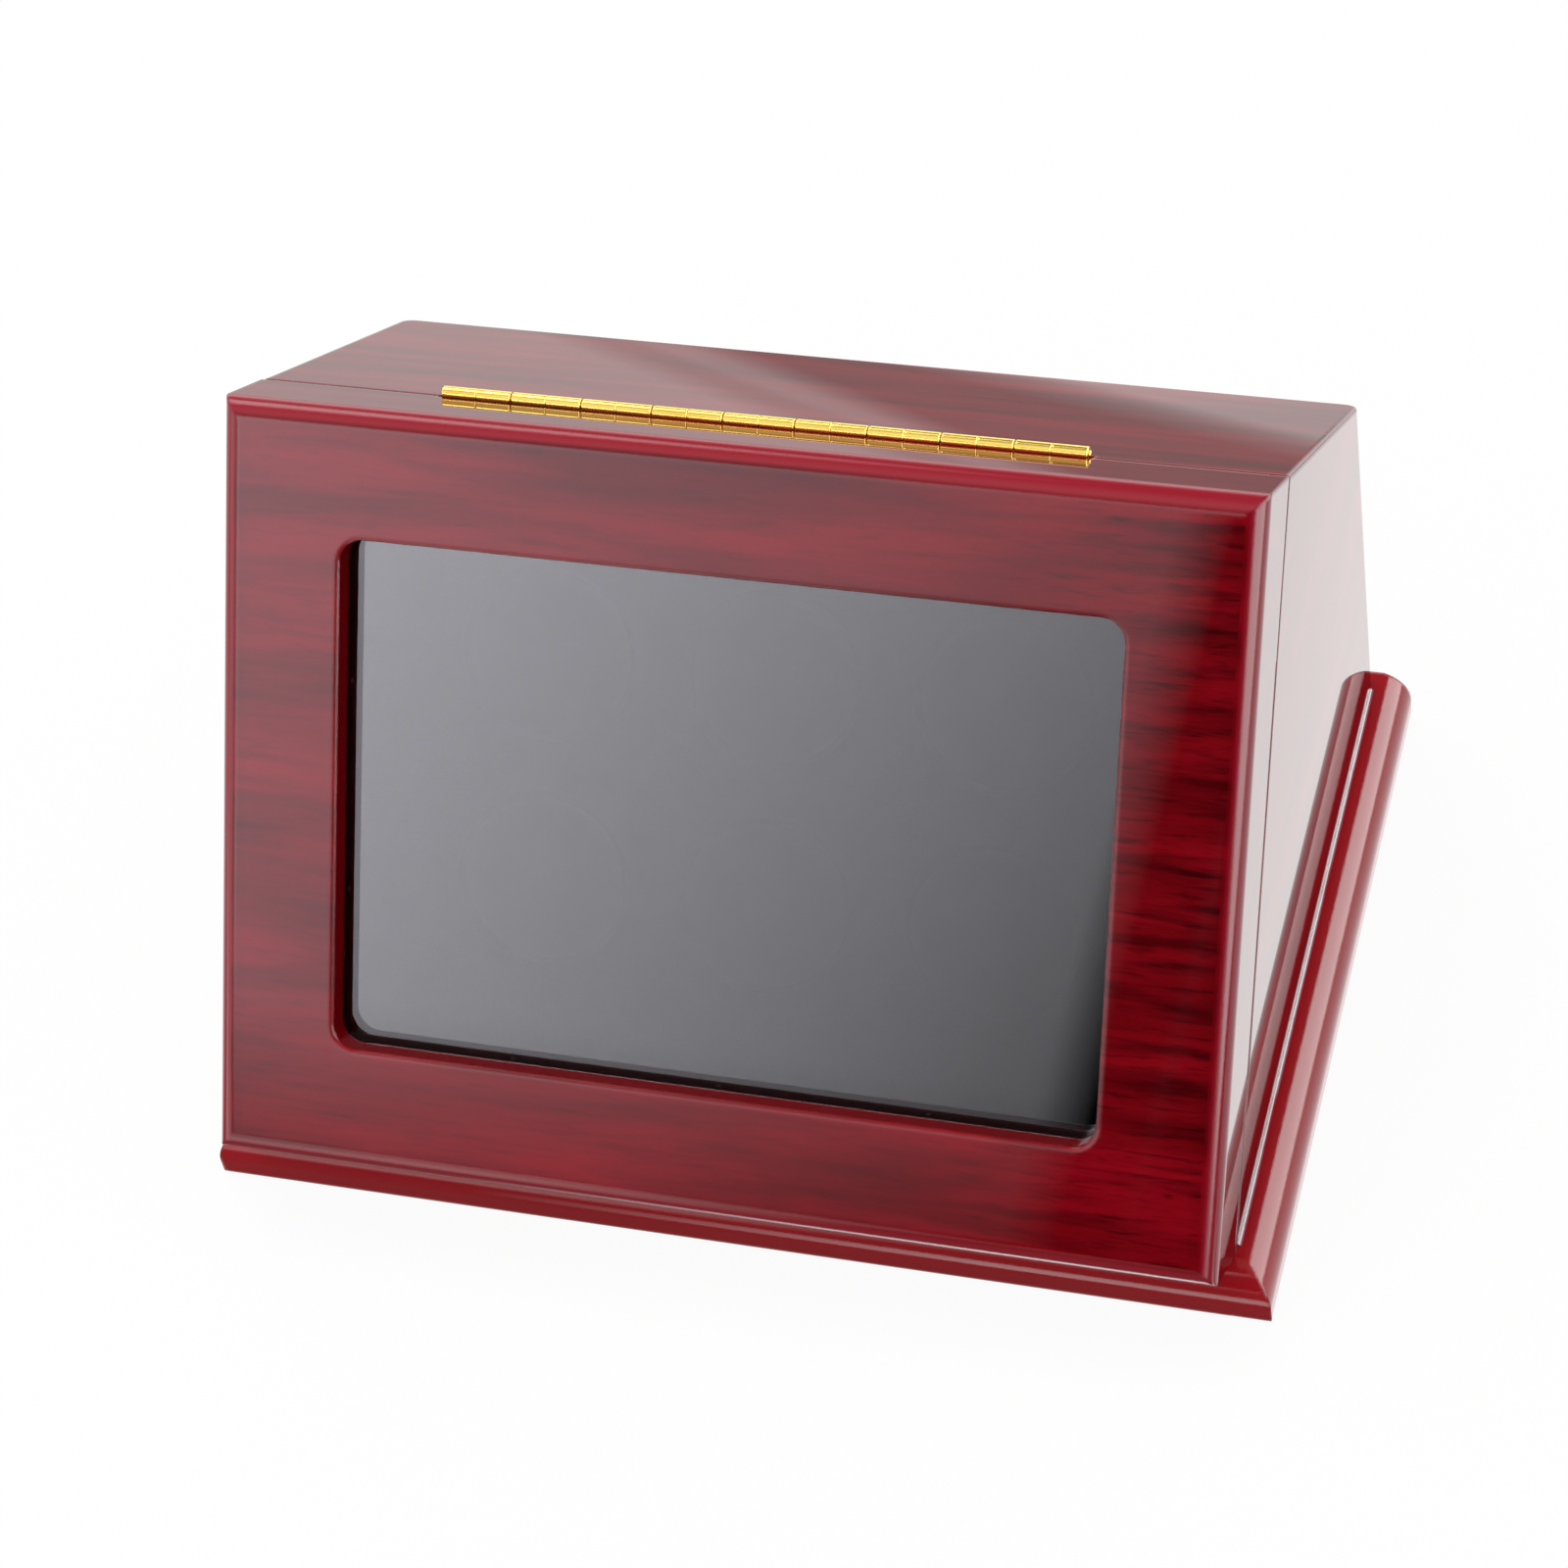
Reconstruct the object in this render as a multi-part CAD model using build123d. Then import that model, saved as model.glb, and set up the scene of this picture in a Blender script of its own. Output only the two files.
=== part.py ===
"""A slant-front golf ball display case on a routed base plate.

The glazed door leans back on the sloping front of the case and swings up on a piano hinge
let into the top seam. Inside, six balls sit in the cups of a flocked tray behind the glass.
Lengths are in millimetres. +Z is up, the front faces -Y, and the origin is under the middle
of the whole case, on the surface that it stands on.
"""
from build123d import *
import os
from math import acos, cos, degrees, radians, sin, tan

# Outside of the case
case_width = 240.0
front_height = 162.6        # sharp front top edge of the door above the base plate
front_tilt = 35.0           # degrees that the front leans back from upright
top_depth = 115.5           # down the sloping top, from the front of the door to the back
outer_round = 0.8           # lacquered outer edges of the case
back_round = 3.3            # upright edges at the back

# Panels of the case
side_thickness = 10.0
top_thickness = 10.0
back_thickness = 9.0
sill_height = 14.0          # rail under the door opening
sill_thickness = 12.0

# Base plate with its routed edge, and the felt under it
base_thickness = 15.0
side_ledge = 2.3            # flat strip beside the case, before the routed nose
front_ledge = 0.6           # the same in front of the case
nose_reach = 6.8
nose_radius = 9.6
base_foot_round = 2.0
base_back_reveal = 2.0      # beyond the back panel, where the edge is cut square
felt_thickness = 1.0
felt_inset = 2.2
felt_corner = 3.0

# Door slab
door_thickness = 24.6
door_base_gap = 0.8         # along the face, between the door's lower back edge and the base
door_front_round = 4.5
door_back_round = 0.6
seam_gap = 0.4
window_width = 181.7
window_height = 121.3
top_border = 29.9           # from the door's top edge to the window
window_corner = 5.5
window_edge_round = 0.8
glass_setback = 6.5         # from the front of the door to the glass
rebate_width = 6.0          # shoulder behind the window's edge
rebate_corner = 3.0

# Glass, and the mitred beads that hold it
glass_thickness = 3.0
glass_clearance = 0.5
bead_width = 5.5
bead_depth = 7.0
bead_round = 2.5
bead_pin_diameter = 1.2
bead_pin_length = 11.0
bead_pin_depth = 2.2        # behind the glass
bead_pin_spacing = 50.0
long_bead_pin_count = 3
short_bead_pin_count = 2
pin_fit = 0.05

# Piano hinge, sunk into the top seam
knuckle_count = 18
knuckle_pitch = 8.4
knuckle_gap = 0.32
knuckle_end_play = 0.17     # the door's knuckles stand this far to the left
knuckle_diameter = 3.4
hinge_lift = 0.7            # axis above the sloping top
hinge_pin_diameter = 1.7
hinge_pin_clearance = 0.05
hinge_pin_reach = 0.2       # domed ends beyond the last knuckles
hinge_end_room = 0.8        # groove beyond the hinge at each end
leaf_thickness = 0.8
leaf_width = 9.6            # from the axis to the leaf's free edge
barrel_clearance = 0.2      # round the barrel, to the other leaf and the wood
leaf_fit = 0.1
leaf_screw_count = 5
leaf_screw_spacing = 33.6

# Leaf screws and base screws
leaf_screw_diameter = 1.6
leaf_screw_head = 3.2
leaf_screw_length = 8.0
base_screw_diameter = 3.5
base_screw_head = 7.0
base_screw_length = 32.0
base_screw_row_count = 3
base_screw_end = 22.0       # from the front and back of the side panels
back_screw_spacing = 120.0
screw_fit = 0.05
screw_slot = 0.16           # width of the driver slot, as a share of the head
screw_slot_depth = 0.35

# Ball tray and its cleats
ball_diameter = 42.67
ball_clearance = 0.4
ball_pitch = 55.0
ball_column_count = 3
ball_row_count = 2
cup_depth = 14.0
cup_edge_bevel = 1.0
tray_front = 45.0           # behind the front of the door
tray_thickness = 18.0
tray_fit = 0.3
cleat_width = 9.0
cleat_thickness = 8.0
cleat_length = 110.0
cleat_start = 22.0          # down from the top edge

# Flocked lining boards and door bumpers
lining_thickness = 1.0
lining_setback = 1.0        # behind the seam
bumper_diameter = 7.0
bumper_play = 0.1
bumper_from_side = 5.0
bumper_above_foot = 8.0

# Worked out from the sizes above
tilt = radians(front_tilt)
half_width = case_width / 2
inner_half = half_width - side_thickness
seam_back = door_thickness + seam_gap
sill_back = seam_back + sill_thickness
side_overhang = side_ledge + nose_reach
front_overhang = front_ledge + nose_reach
hinge_depth = door_thickness + seam_gap / 2
hinge_length = knuckle_count * knuckle_pitch
knuckle_radius = knuckle_diameter / 2
barrel_space = knuckle_radius + barrel_clearance
glass_back = glass_setback + glass_thickness
rebate_size = (window_width + 2 * rebate_width, window_height + 2 * rebate_width)
window_middle = top_border + window_height / 2
tray_back = tray_front + tray_thickness
base_top = felt_thickness + base_thickness
front_z = base_top + front_height


def foot(deep, above=0.0):
    """Distance down the face to the base plate, or above it, at this depth behind the front."""
    return (front_height - above - deep * sin(tilt)) / cos(tilt)


door_height = foot(door_thickness) - door_base_gap
reach_front = door_height * sin(tilt) - door_front_round * (cos(tilt) + sin(tilt) - 1)
reach_back = top_depth * cos(tilt) + base_back_reveal
front_y = (reach_front - reach_back) / 2

# Places on the slanted front: x across, y down the face, z in through the door
face = Location(Plane((0, front_y, front_z), x_dir=(1, 0, 0), z_dir=(0, cos(tilt), -sin(tilt))))
hinge_axis = face * Pos(0, -hinge_lift, hinge_depth)
window = face * Pos(0, window_middle, 0)


def at(down, deep):
    """The (Y, Z) place of a point down the slanted face and behind it."""
    y = front_y + deep * cos(tilt) - down * sin(tilt)
    z = front_z - deep * sin(tilt) - down * cos(tilt)
    return y, z


back_y = at(0, top_depth)[0]
case_foot_y = at(foot(seam_back), seam_back)[0]
base_front_y = case_foot_y - front_overhang
base_back_y = back_y + base_back_reveal


def prism(points, x_from, x_to):
    """A side outline of (Y, Z) points, run across the case."""
    outline = make_face(Polyline(*points, close=True))
    return extrude(Plane.YZ.offset(x_from) * outline, amount=x_to - x_from, dir=(1, 0, 0))


def block(x_from, x_to, y_from, y_to, z_from, z_to):
    """A box between two corners."""
    corner = (Align.MIN, Align.MIN, Align.MIN)
    box = Box(x_to - x_from, y_to - y_from, z_to - z_from, align=corner)
    return Pos(x_from, y_from, z_from) * box


def row(count, spacing):
    """Evenly spaced places about zero."""
    return [(index - (count - 1) / 2) * spacing for index in range(count)]


def rod(radius, length):
    """A round bar from the origin up Z."""
    return Cylinder(radius, length, align=(Align.CENTER, Align.CENTER, Align.MIN))


def screw(diameter, head, length, fit=0.0, slotted=True):
    """A countersunk screw driven up Z from its head at the origin. A fit makes its hole."""
    sink = (head - diameter) / 2
    tip = diameter
    head_cone = Cone(head / 2 + fit, diameter / 2 + fit, sink,
                     align=(Align.CENTER, Align.CENTER, Align.MIN))
    shank = Pos(0, 0, sink) * rod(diameter / 2 + fit, length - sink - tip)
    point = Pos(0, 0, length - tip) * Cone(diameter / 2 + fit, fit, tip,
                                           align=(Align.CENTER, Align.CENTER, Align.MIN))
    solid = head_cone + shank + point
    if slotted:
        solid -= block(-head, head, -screw_slot * head / 2, screw_slot * head / 2,
                       0, screw_slot_depth)
    return solid


# Case

def case_hull():
    """The case behind the door as one block, with its outer edges eased."""
    hull = prism([at(0, seam_back), at(0, top_depth), (back_y, base_top),
                  at(foot(seam_back), seam_back)], -half_width, half_width)
    hull = fillet(hull.edges().filter_by(Axis.Z), back_round)
    sharp = hull.edges() - hull.edges().filter_by(Axis.Z)
    return fillet([edge for edge in sharp if edge.center().Z > base_top + outer_round], outer_round)


def under_top(y):
    """Height of the underside of the top panel at this Y."""
    start_y, start_z = at(top_thickness, seam_back)
    return start_z - (y - start_y) * tan(tilt)


def mitre(side):
    """Plane through the mitre between a side panel and the top, facing the side panel."""
    facing = (side * top_thickness, -side_thickness * sin(tilt), -side_thickness * cos(tilt))
    return Plane(origin=(side * half_width, front_y, front_z), z_dir=facing)


def base_screw_places():
    """(x, y) of the screws into the edges of both side panels and the back panel."""
    first = case_foot_y + base_screw_end
    last = back_y - base_screw_end
    step = (last - first) / (base_screw_row_count - 1)
    sides = [(side * (half_width - side_thickness / 2), first + index * step)
             for side in (-1, 1) for index in range(base_screw_row_count)]
    back = [(x, back_y - back_thickness / 2) for x in row(2, back_screw_spacing)]
    return sides + back


def base_screws(fit=0.0, slotted=True):
    one = screw(base_screw_diameter, base_screw_head, base_screw_length, fit, slotted)
    return Part() + [Pos(x, y, felt_thickness) * one for x, y in base_screw_places()]


def side_panel(side, hull):
    slab = block(min(side * inner_half, side * half_width),
                 max(side * inner_half, side * half_width),
                 case_foot_y, back_y, base_top, front_z)
    return split(slab & hull, bisect_by=mitre(side), keep=Keep.TOP) - base_screws(screw_fit, False)


def hinge_rebate(deep_from, deep_to):
    """Room for one leaf of the hinge and the barrel in the seam."""
    reach = hinge_length / 2 + hinge_end_room
    leaf = face * block(-reach, reach, -hinge_lift, leaf_width - hinge_lift + leaf_fit,
                        deep_from, deep_to)
    barrel = hinge_axis * Rot(0, 90, 0) * Cylinder(barrel_space, 2 * reach)
    return leaf + barrel


def top_panel(hull):
    slab = prism([at(0, seam_back), at(0, top_depth), (back_y, under_top(back_y)),
                  at(top_thickness, seam_back)], -half_width, half_width) & hull
    for side in (-1, 1):
        slab = split(slab, bisect_by=mitre(side), keep=Keep.BOTTOM)
    slab -= hinge_rebate(seam_back, seam_back + leaf_thickness)
    return slab - leaf_screws(1, screw_fit, False)


def back_panel(hull):
    inside = back_y - back_thickness
    slab = prism([(inside, base_top), (back_y, base_top), (back_y, under_top(back_y)),
                  (inside, under_top(inside))], -inner_half, inner_half)
    return (slab & hull) - base_screws(screw_fit, False)


def front_sill():
    sill_top = foot(seam_back) - sill_height
    return prism([at(foot(seam_back), seam_back), at(sill_top, seam_back),
                  at(sill_top, sill_back), at(foot(sill_back), sill_back)],
                 -inner_half, inner_half)


def routed_outline(start, ledge_end):
    """Section of the base plate from x = start out to its routed edge."""
    turn = acos(1 - nose_reach / nose_radius)
    outer = ledge_end + nose_reach
    nose_z = base_top - nose_radius * sin(turn)
    nose = CenterArc((outer - nose_radius, nose_z), nose_radius, 0, degrees(turn))
    foot_z = felt_thickness + base_foot_round
    foot_arc = CenterArc((outer - base_foot_round, foot_z), base_foot_round, 270, 90)
    return make_face([
        Line((start, base_top), nose @ 1), nose, Line(nose @ 0, foot_arc @ 1), foot_arc,
        Line(foot_arc @ 0, (start, felt_thickness)), Line((start, felt_thickness), (start, base_top)),
    ])


def base_plate():
    """The sections across and along the case meet in mitres at the front corners."""
    half = routed_outline(0, half_width + side_ledge)
    across = extrude(Plane.XZ.offset(-base_back_y) * (half + mirror(half, Plane.YZ)),
                     amount=base_back_y - base_front_y, dir=(0, -1, 0))
    side_view = Plane((0, 0, 0), x_dir=(0, -1, 0), z_dir=(-1, 0, 0))
    along = extrude(side_view * routed_outline(-base_back_y, front_ledge - case_foot_y),
                    amount=half_width + side_overhang, both=True)
    return (across & along) - base_screws(screw_fit, False)


def base_felt():
    reach = half_width + side_overhang - felt_inset
    depth = base_back_y - base_front_y - 2 * felt_inset
    outline = RectangleRounded(2 * reach, depth, felt_corner)
    return extrude(Pos(0, (base_front_y + base_back_y) / 2) * outline, amount=felt_thickness)


def side_lining(side):
    low = foot(seam_back) - sill_height
    start = seam_back + lining_setback
    high = top_thickness + lining_thickness
    inside = side * (inner_half - lining_thickness)
    return prism([at(high, start), at(high, tray_front),
                  at(foot(tray_front, lining_thickness), tray_front),
                  at(foot(sill_back, lining_thickness), sill_back),
                  at(low, sill_back), at(low, start)],
                 min(inside, side * inner_half), max(inside, side * inner_half))


def top_lining():
    return face * block(-inner_half, inner_half, top_thickness,
                        top_thickness + lining_thickness, seam_back + lining_setback, tray_front)


def floor_lining():
    return prism([at(foot(sill_back), sill_back), at(foot(tray_front), tray_front),
                  at(foot(tray_front, lining_thickness), tray_front),
                  at(foot(sill_back, lining_thickness), sill_back)],
                 -inner_half, inner_half)


def ball_tray():
    """A board parallel to the glass, with a round cup for each ball."""
    high = top_thickness + tray_fit
    reach = inner_half - tray_fit
    board = prism([at(high, tray_front), at(high, tray_back), at(foot(tray_back), tray_back),
                   at(foot(tray_front), tray_front)], -reach, reach)
    cup_radius = ball_diameter / 2 + ball_clearance
    ball_deep = tray_front + cup_depth - cup_radius
    for x in row(ball_column_count, ball_pitch):
        for down in row(ball_row_count, ball_pitch):
            board -= window * Pos(x, down, ball_deep) * Sphere(cup_radius)
    return chamfer(board.edges().filter_by(GeomType.CIRCLE), cup_edge_bevel)


def tray_cleat(side):
    inside = side * (inner_half - cleat_width)
    return face * block(min(inside, side * inner_half), max(inside, side * inner_half),
                        cleat_start, cleat_start + cleat_length,
                        tray_back, tray_back + cleat_thickness)


def door_bumpers():
    """Clear dots on the front edges of the side panels, where the closed door lands."""
    dot = rod(bumper_diameter / 2, seam_gap - bumper_play)
    down = foot(seam_back) - bumper_above_foot
    return Part() + [
        face * Pos(side * (half_width - bumper_from_side), down, seam_back) * Rot(180, 0, 0) * dot
        for side in (-1, 1)]


# Door

def door_frame():
    slab = block(-half_width, half_width, 0, door_height, 0, door_thickness)
    front_edges = slab.edges().group_by(Axis.Z)[0]
    slab = fillet(front_edges, door_front_round)
    slab = fillet(slab.faces().sort_by(Axis.Z)[-1].edges(), door_back_round)
    middle = Pos(0, window_middle, 0)
    opening = RectangleRounded(window_width, window_height, window_corner)
    slab -= middle * extrude(opening, amount=door_thickness)
    rim = slab.faces().sort_by(Axis.Z)[0].inner_wires()[0]
    slab = fillet(rim.edges(), window_edge_round)
    rebate = extrude(RectangleRounded(*rebate_size, rebate_corner),
                     amount=door_thickness - glass_setback)
    slab -= middle * Pos(0, 0, glass_setback) * rebate
    slab = face * slab - hinge_rebate(door_thickness - leaf_thickness, door_thickness)
    return slab - leaf_screws(-1, screw_fit, False) - bead_pins(pin_fit)


def door_glass():
    width, height = (size - 2 * glass_clearance for size in rebate_size)
    sheet = RectangleRounded(width, height, rebate_corner - glass_clearance)
    return window * Pos(0, 0, glass_setback) * extrude(sheet, amount=glass_thickness)


def bead_place(turns):
    """Frame of one bead, turned about the middle of the window. Zero is the top bead."""
    return window * Rot(0, 0, 90 * turns)


def bead_reach(turns):
    """Half the bead's length, and its distance from the middle of the window."""
    half_across, half_up = rebate_size[0] / 2, rebate_size[1] / 2
    return (half_up, half_across) if turns % 2 else (half_across, half_up)


def glass_bead(turns):
    """A strip with mitred ends, rounded on its inner back edge and pinned to the door."""
    half_length, away = bead_reach(turns)
    outline = make_face(Polyline(
        (-half_length, -away), (half_length, -away), (half_length - bead_width, bead_width - away),
        (bead_width - half_length, bead_width - away), close=True))
    strip = Pos(0, 0, glass_back) * extrude(outline, amount=bead_depth)
    inner_back = strip.edges().filter_by(Axis.X).group_by(Axis.Z)[-1].sort_by(Axis.Y)[-1]
    strip = bead_place(turns) * fillet(inner_back, bead_round)
    pocket = extrude(RectangleRounded(*rebate_size, rebate_corner), amount=door_thickness)
    return (strip & window * pocket) - bead_pins(pin_fit)


def bead_pins(fit=0.0):
    pins = []
    for turns in range(4):
        away = bead_reach(turns)[1]
        count = short_bead_pin_count if turns % 2 else long_bead_pin_count
        for x in row(count, bead_pin_spacing):
            start = Pos(x, bead_width - away, glass_back + bead_pin_depth) * Rot(90, 0, 0)
            pins.append(bead_place(turns) * start
                        * rod(bead_pin_diameter / 2 + fit, bead_pin_length))
    return Part() + pins


# Hinge

def hinge_leaf(side):
    """One leaf with its own knuckles: side 1 for the case, -1 for the door."""
    near, far = sorted((side * seam_gap / 2, side * (seam_gap / 2 + leaf_thickness)))
    half_length = hinge_length / 2 - knuckle_gap / 2
    leaf = block(-half_length, half_length, barrel_space, leaf_width, near, far)
    shift = -knuckle_end_play if side < 0 else 0.0
    first = 0 if side > 0 else 1
    half_knuckle = (knuckle_pitch - knuckle_gap) / 2
    for x in row(knuckle_count, knuckle_pitch)[first::2]:
        barrel = Rot(0, 90, 0) * Cylinder(knuckle_radius, 2 * half_knuckle)
        tab = block(-half_knuckle, half_knuckle, 0, barrel_space, near, far)
        leaf += Pos(x + shift, 0, 0) * (barrel + tab)
    bore = Cylinder(hinge_pin_diameter / 2 + hinge_pin_clearance, hinge_length + knuckle_pitch)
    leaf -= Rot(0, 90, 0) * bore
    return hinge_axis * leaf - leaf_screws(side, screw_fit, False)


def hinge_pin():
    bar = Cylinder(hinge_pin_diameter / 2, hinge_length + 2 * hinge_pin_reach)
    bar = fillet(bar.edges().filter_by(GeomType.CIRCLE), hinge_pin_reach)
    return hinge_axis * Rot(0, 90, 0) * bar


def leaf_screws(side, fit=0.0, slotted=True):
    """Screws through one leaf: side 1 into the case, -1 into the door."""
    one = screw(leaf_screw_diameter, leaf_screw_head, leaf_screw_length, fit, slotted)
    turn = Rot(0, 0, 0) if side > 0 else Rot(180, 0, 0)
    down = (barrel_space + leaf_width) / 2
    return Part() + [hinge_axis * Pos(x, down, side * seam_gap / 2) * turn * one
                     for x in row(leaf_screw_count, leaf_screw_spacing)]


def make_pieces():
    hull = case_hull()
    return {
        "base_plate": base_plate(),
        "base_felt": base_felt(),
        "side_panel_left": side_panel(-1, hull),
        "side_panel_right": side_panel(1, hull),
        "top_panel": top_panel(hull),
        "back_panel": back_panel(hull),
        "front_sill": front_sill(),
        "base_screws": base_screws(),
        "side_lining_left": side_lining(-1),
        "side_lining_right": side_lining(1),
        "top_lining": top_lining(),
        "floor_lining": floor_lining(),
        "ball_tray": ball_tray(),
        "tray_cleat_left": tray_cleat(-1),
        "tray_cleat_right": tray_cleat(1),
        "door_bumpers": door_bumpers(),
        "hinge_case_leaf": hinge_leaf(1),
        "hinge_pin": hinge_pin(),
        "hinge_case_screws": leaf_screws(1),
        "door_frame": door_frame(),
        "door_glass": door_glass(),
        "glass_bead_top": glass_bead(0),
        "glass_bead_right": glass_bead(1),
        "glass_bead_bottom": glass_bead(2),
        "glass_bead_left": glass_bead(3),
        "glass_bead_pins": bead_pins(),
        "hinge_door_leaf": hinge_leaf(-1),
        "hinge_door_screws": leaf_screws(-1),
    }


os.makedirs("parts", exist_ok=True)
for name, piece in make_pieces().items():
    export_step(piece, f"parts/{name}.step")
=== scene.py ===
# Golf ball display case: camera, finishes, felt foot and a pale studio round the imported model.
# Sizes in the dictionaries are millimetres unless a note says otherwise; mm turns them into scene metres.
# Tones and stops are places on a ramp from 0 to 1, each with its colour.
import math

import bmesh
import bpy
from mathutils import Euler, Matrix, Vector


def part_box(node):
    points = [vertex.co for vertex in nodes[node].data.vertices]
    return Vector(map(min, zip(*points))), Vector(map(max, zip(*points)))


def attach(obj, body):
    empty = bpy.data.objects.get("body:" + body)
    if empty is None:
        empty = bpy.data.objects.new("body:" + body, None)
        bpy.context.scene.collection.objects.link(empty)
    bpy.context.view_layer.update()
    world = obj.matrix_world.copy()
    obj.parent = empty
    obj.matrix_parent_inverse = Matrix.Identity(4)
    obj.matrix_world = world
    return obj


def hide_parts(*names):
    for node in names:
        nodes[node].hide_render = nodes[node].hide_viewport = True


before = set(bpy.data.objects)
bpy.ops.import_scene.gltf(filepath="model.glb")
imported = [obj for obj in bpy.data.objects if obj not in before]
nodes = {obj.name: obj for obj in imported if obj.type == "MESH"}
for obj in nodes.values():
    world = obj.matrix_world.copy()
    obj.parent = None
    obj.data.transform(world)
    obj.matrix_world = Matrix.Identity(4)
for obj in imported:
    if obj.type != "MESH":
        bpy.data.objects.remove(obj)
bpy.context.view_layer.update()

mm = 0.001

# Camera, at the photograph's place and angle. The picture is square, 1600 x 1600.
cameraValues = {
    "lens": 105.04,
    "sensor": 36,
    "place": (283.73, -656.98, 880.80),
    "turn": (40.7836, 7.5206, 14.8586),  # degrees
    "clip": (20, 50000),
}


def makeCamera():
    data = bpy.data.cameras.new("camera")
    data.lens = cameraValues["lens"]
    data.sensor_width = cameraValues["sensor"]
    data.clip_start, data.clip_end = (distance * mm for distance in cameraValues["clip"])
    camera = bpy.data.objects.new("camera", data)
    camera.location = Vector(cameraValues["place"]) * mm
    camera.rotation_euler = Euler([math.radians(a) for a in cameraValues["turn"]])
    bpy.context.scene.collection.objects.link(camera)
    bpy.context.scene.camera = camera


makeCamera()
bpy.context.scene.view_settings.view_transform = "Standard"
print("camera in place")


# Where the leaning front lies, read from the door itself.
frontTilt = math.radians(35)  # of the front, from upright
frontOut = Vector((0, -math.cos(frontTilt), math.sin(frontTilt)))
frontUp = Vector((0, math.sin(frontTilt), math.cos(frontTilt)))
frontLevel = max(frontOut.dot(v.co) for v in nodes["door_frame"].data.vertices)
frontTop = max(frontUp.dot(v.co) for v in nodes["door_frame"].data.vertices)
frontFoot = min(frontUp.dot(v.co) for v in nodes["door_frame"].data.vertices)
doorSize = (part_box("door_frame")[1].x * 2, frontTop - frontFoot)
# Turns a point so that X runs across the front, Y up it and Z out of it, from the middle of the face.
frontTurn = (frontTilt - math.pi / 2, 0, 0)
frontShift = (0, -(frontTop + frontFoot) / 2, -frontLevel)


def linear(hexColour):
    def channel(pair):
        value = int(pair, 16) / 255
        return value / 12.92 if value <= 0.04045 else ((value + 0.055) / 1.055) ** 2.4
    digits = hexColour.lstrip("#")
    return tuple(channel(digits[i:i + 2]) for i in (0, 2, 4)) + (1,)


def every(size):
    # Mapping scale at which a pattern repeats about every so many millimetres along X, Y and Z.
    return tuple(1 / (length * mm) for length in size)


def setInputs(tree, node, inputs):
    for name, value in inputs.items():
        if isinstance(value, bpy.types.NodeSocket):
            tree.links.new(value, node.inputs[name])
        else:
            node.inputs[name].default_value = value


def addNode(tree, kind, inputs=None, stops=(), **settings):
    node = tree.nodes.new(kind)
    for name, value in settings.items():
        setattr(node, name, value)
    setInputs(tree, node, inputs or {})
    if stops:
        # A new ramp has two stops of its own; the first is used and the second goes
        ramp = node.color_ramp.elements
        ramp.remove(ramp[1])
        ramp[0].position = stops[0][0]
        ramp[0].color = linear(stops[0][1])
        for position, hexColour in stops[1:]:
            ramp.new(position).color = linear(hexColour)
    return node


def newFinish(name):
    # A new material with its Principled shader, and the object's own coordinates to build on.
    finish = bpy.data.materials.new(name)
    finish.use_nodes = True
    tree = finish.node_tree
    coords = addNode(tree, "ShaderNodeTexCoord").outputs["Object"]
    return finish, tree, tree.nodes["Principled BSDF"], coords


# Stained veneer under poured polyester lacquer: dark red with soft cloudy bands and short near-black
# vessels that run level, seen through a thick clear coat that mirrors the room.
veneerValues = {
    "tones": ((0.34, "#6a040d"), (0.48, "#7f0713"), (0.64, "#920a19")),
    "vessel": "#240104",
    "band": (120, 15, 15),
    # Streaks, dashes and pores: their size, how dark they are, and the share of the noise that makes them
    "marks": (
        {"size": (44, 4.2, 4.2), "depth": 0.22, "span": (0.42, 0.72)},
        {"size": (13, 1.7, 1.7), "depth": 0.22, "span": (0.5, 0.76)},
        {"size": (5, 0.55, 0.55), "depth": 0.09, "span": (0.52, 0.72)}),
    "stainRoughness": 0.45,
    "coatRoughness": 0.02,
    "coatIndex": 1.37,  # lower than cured polyester's, because the real coat mirrors its room faintly
    "soften": 1.4,  # radius over which the poured coat runs round edges
    "softenSamples": 6,
}
doorValues = {
    "smudgeFrom": 55,  # the stain grows darker and more broken towards the right end
    "smudgeTo": 108,
    "smudge": 3.2,
    "sideStrength": 0.2,  # of the figure on the door's own sides, against that on its face
    "edgeShade": 0.16,  # dark border that the stain leaves inside the face's edge
    "edgeShadeWidth": 5,
    "edgeRed": "#951a2a",
    # Darker red of the window's wall: painted shade in the opening's recess
    "wallShadeRed": "#76070f",
    "faceCorner": 3.0,
    "rounding": 4.5,  # of the door's front edges
    "paintFrom": (0.02, 0.3),  # depths behind the face between which the red rim sets in
    "paintTo": (3.9, 4.9),
    "wallFrom": (0.6, 0.9),
}
mouldingValues = {"red": "#ae1d26", "plainShare": 0.8, "strength": 0.7}


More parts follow.
